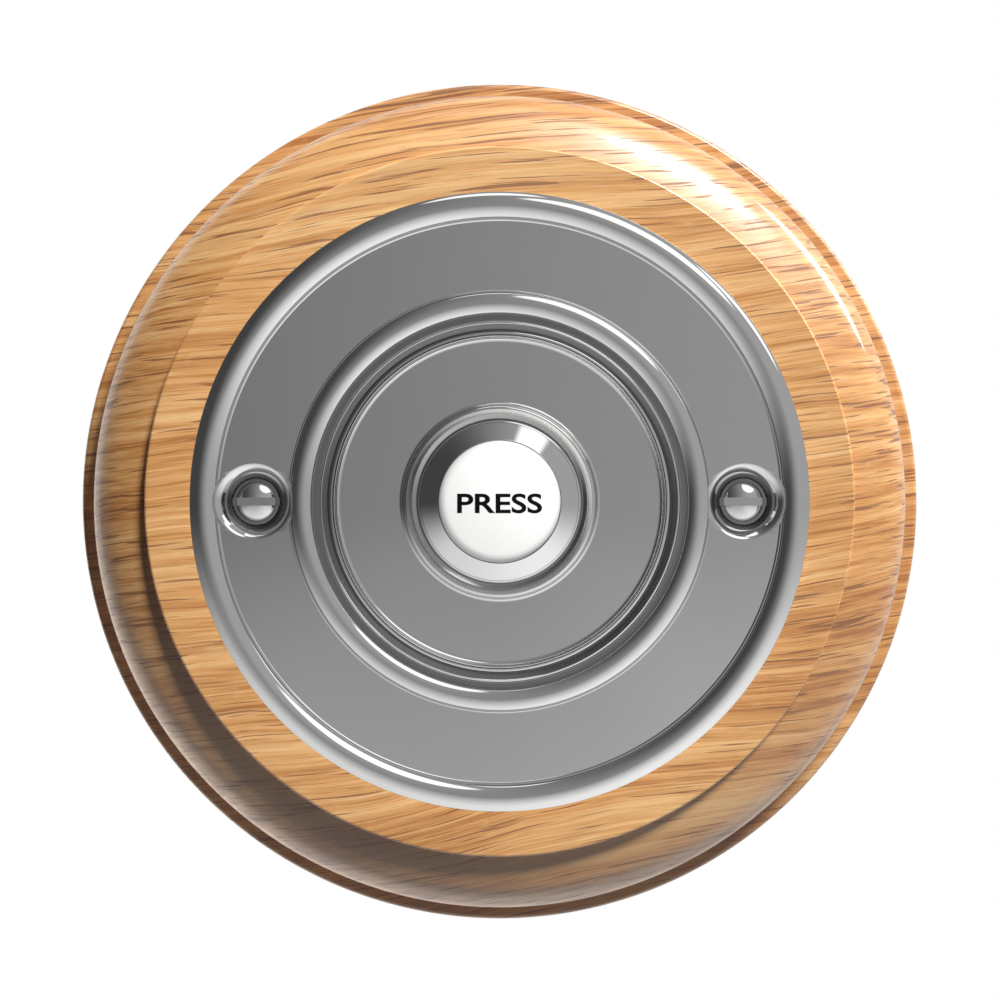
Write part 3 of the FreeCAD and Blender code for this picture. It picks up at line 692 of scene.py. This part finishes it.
for point in letters.verts:
    spread = point.co.x ** 2 + point.co.z ** 2
    point.co.y = -(DOME_CENTRE + math.sqrt((DOME + 0.02) ** 2 - spread))
lettering = finished(letters, "button_lettering")
thick = lettering.modifiers.new("thickness", "SOLIDIFY")
thick.thickness = 0.04 * MM
thick.offset = -1


def print_ink():
    ink = Finish("black print")
    cloud = ink.noise(ink.place(), 2.0, 2.0)
    black = ink.mix(cloud, (*rgb(3, 3, 3), 1), (*rgb(7, 7, 6), 1))
    return ink.surface(base_color=black, roughness=0.5 + cloud * 0.1, specular_ior_level=0.12)


dress(lettering, print_ink(), "ceramic", "button")
print("word:", len(lettering.data.vertices), "points")

# %% [markdown]
# ## The spring leaf
#
# A strip of bronze is held at one end by a terminal and lies under the button at the other.
# It bends as the button goes in. Here it is one fixed mesh of many short lengths that
# follows the plinth at its foot and the button at its tip.

# %% Bend the spring leaf
LEAF = 0.4
strip = bmesh.new()
corners = [(-17.25, 8.5), (-10.45, 8.5), (-5.45, 11.0), (8.05, 11.0)]
points = [strip.verts.new((x, -reach, -3)) for x, reach in corners]
runs = [strip.edges.new(pair) for pair in zip(points, points[1:])]
bmesh.ops.bevel(
    strip, geom=points[1:3], offset=0.35, segments=6, affect="VERTICES", profile=0.5, material=-1
)
longer = [edge for edge in strip.edges if edge.calc_length() > 2]
bmesh.ops.subdivide_edges(strip, edges=longer, cuts=12)
made = bmesh.ops.extrude_edge_only(strip, edges=strip.edges[:])
moved = [item for item in made["geom"] if isinstance(item, bmesh.types.BMVert)]
bmesh.ops.translate(strip, verts=moved, vec=(0, 0, 6))
bmesh.ops.recalc_face_normals(strip, faces=strip.faces)
outward = sum(face.normal.y * face.calc_area() for face in strip.faces)
if outward > 0:
    bmesh.ops.reverse_faces(strip, faces=strip.faces)
bmesh.ops.solidify(strip, geom=strip.faces[:], thickness=-LEAF)
leaf = finished(strip, "bronze_leaf")
carve(leaf, drill(1.6, 7.5, 10, x=-14.05), solver="EXACT")
shade(leaf, 40)
leaf.data.materials.clear()
leaf.data.materials.append(BRONZE)
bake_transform(leaf)
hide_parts("spring_leaf")

# %% [markdown]
# ## Floor, light and camera
#
# The push is photographed straight on against white. A soft lamp high on the right lights the
# wood and throws the shadow of its face to the lower left, and a strip at the side catches its
# edge. The button has a key and a weak fill of its own. Chrome shows its surroundings more than
# its lamps, so it is left out of the lamps' reach, and mirrors see a drawn room: dim at the
# upper left, grey on the right, a pale floor below, and three round windows. Behind the object
# everything is white, and some of that white reaches the lower left edge.

# %% The floor
def floor():
    mesh = bmesh.new()
    bmesh.ops.create_circle(mesh, cap_ends=True, segments=96, radius=800)
    bmesh.ops.translate(mesh, verts=mesh.verts, vec=(0, -250, -250))
    return finished(mesh, "studio_floor")


studio_floor = floor()
paper = Finish("pale paper")
spot = paper.place()
grit = paper.noise(spot, 0.5, 2.0)
away = paper.node("VectorMath", {"operation": "DISTANCE"}, {0: spot, 1: (0, -250, -250)}, output="Value")
pale = paper.mix(grit, (0.82, 0.82, 0.81, 1), (0.79, 0.79, 0.78, 1))
sheet = paper.node("BsdfDiffuse", None, {"Color": pale})
clear = paper.node("BsdfTransparent")
paper.node_output(paper.node("MixShader", None, {0: paper.ease(away, 560, 790), 1: sheet, 2: clear}))
studio_floor.data.materials.append(paper.data)
studio_floor.visible_diffuse = False
studio_floor.visible_glossy = False
studio_floor.visible_shadow = False


# %% The lamps
def lamp(name, off_axis, azimuth, distance, size, power, pieces, state):
    """An oval soft lamp, aimed at the push from an angle off the camera's axis.

    Its first size lies round the axis and its second towards the axis.
    """
    data = bpy.data.lights.new(name, "AREA")
    data.shape = "ELLIPSE"
    data.size, data.size_y = size
    data.energy = power
    made = bpy.data.objects.new(name, data)
    bpy.context.collection.objects.link(made)
    tilt, turn = math.radians(off_axis), math.radians(azimuth)
    way = Vector((math.sin(tilt) * math.cos(turn), -math.cos(tilt), math.sin(tilt) * math.sin(turn)))
    made.location = way * distance
    round_axis = Vector((-math.sin(turn), 0, math.cos(turn)))
    made.rotation_euler = Matrix((round_axis, way.cross(round_axis), way)).transposed().to_euler()
    made.visible_camera = False
    made.visible_glossy = state == "EXCLUDE"
    chosen = bpy.data.collections.new(name + " " + state.lower())
    for piece in pieces:
        chosen.objects.link(piece)
    made.light_linking.receiver_collection = chosen
    for entry in chosen.collection_objects:
        entry.light_linking.link_state = state
    print(name, "at", [round(place, 2) for place in made.location])
    return made


mirrors = [piece for piece in bpy.data.objects if piece.active_material in (CHROME, ROSE_CHROME, SCREW_CHROME)]
lamp("softbox", 58.3, 61, 1.6, (0.57, 0.125), 48, mirrors + [button, lettering], "EXCLUDE")
lamp("side strip", 92, 36, 0.8, (0.38, 0.2), 2.4, mirrors, "EXCLUDE")
lamp("button key", 45, 61, 0.9, (0.3, 0.3), 10.6, [button, lettering], "INCLUDE")
lamp("button fill", 46, 248, 0.9, (0.6, 0.6), 3.6, [button, lettering], "INCLUDE")


# %% The room
class Room(Finish):
    """The world's nodes, made with the same methods as a finish."""

    def __init__(self):
        world = bpy.data.worlds.new("studio")
        bpy.context.scene.world = world
        world.use_nodes = True
        self.tree = world.node_tree
        self.tree.nodes.clear()


room = Room()
way = room.node("TexCoord", output="Generated")
split = room.node("SeparateXYZ", None, {0: way}).socket.node.outputs
side, back, up = (Wire(room, split[axis]) for axis in range(3))
front = 0 - back
wide = (side * side + up * up + 1e-6) ** 0.5
below = room.ease((0 - up) / wide, 0.0, 0.78)
spread = room.node("Math", {"operation": "MINIMUM"}, {0: wide * 1.12, 1: 1.0})
walls = room.ease(side, -0.75, 0.5, 0.08, 0.54)
ground = room.ease(side, -0.7, 0.5, 1.05, 1.37)
level = walls + (ground - walls) * below * spread
for off_axis, azimuth, reach in ((53.5, 63, 18), (82, 93, 11), (83, 38, 12)):
    tilt, turn = math.radians(off_axis), math.radians(azimuth)
    toward = side * (math.sin(tilt) * math.cos(turn)) + up * (math.sin(tilt) * math.sin(turn))
    toward = toward + front * math.cos(tilt)
    edge = [math.cos(math.radians(reach + soft)) for soft in (1.5, -1.5)]
    level = level + room.ease(toward, *edge) * 1.3
mirror = room.ease(front, -0.45, -0.25, 1.0, 0.0)
seen = level * (1 - mirror) + mirror * 0.7
lower_left = room.ease(side * -0.7 - up * 0.7, 0.0, 0.75, 1.1, 4.6)
band = room.ease(front, -0.14, -0.34) * room.ease(front, -0.85, -0.65)
fill = band * lower_left + 0.02
rays = room.node("LightPath").socket.node.outputs
camera_ray = Wire(room, rays["Is Camera Ray"])
shiny_ray = room.node(
    "Math", {"operation": "MAXIMUM"},
    {0: Wire(room, rays["Is Glossy Ray"]), 1: Wire(room, rays["Is Transmission Ray"])},
)
strength = camera_ray + shiny_ray * seen + (1 - camera_ray) * (1 - shiny_ray) * fill
sky = room.node("Background", None, {"Color": (1, 1, 1, 1), "Strength": strength})
world_out = room.tree.nodes.new("ShaderNodeOutputWorld")
room.tree.links.new(sky.socket, world_out.inputs["Surface"])

# %% The camera
CAMERA_DISTANCE = 0.2167
eye = bpy.data.cameras.new("camera")
eye.lens = 58.83
eye.sensor_width = 36
eye.shift_x = 0.0004
eye.shift_y = 0.0016
eye.clip_start = 0.01
camera = bpy.data.objects.new("camera", eye)
bpy.context.collection.objects.link(camera)
camera.location = (0, -CAMERA_DISTANCE, 0)
camera.rotation_euler = (math.radians(90), 0, 0)
bpy.context.scene.camera = camera
bpy.context.scene.view_settings.view_transform = "Standard"
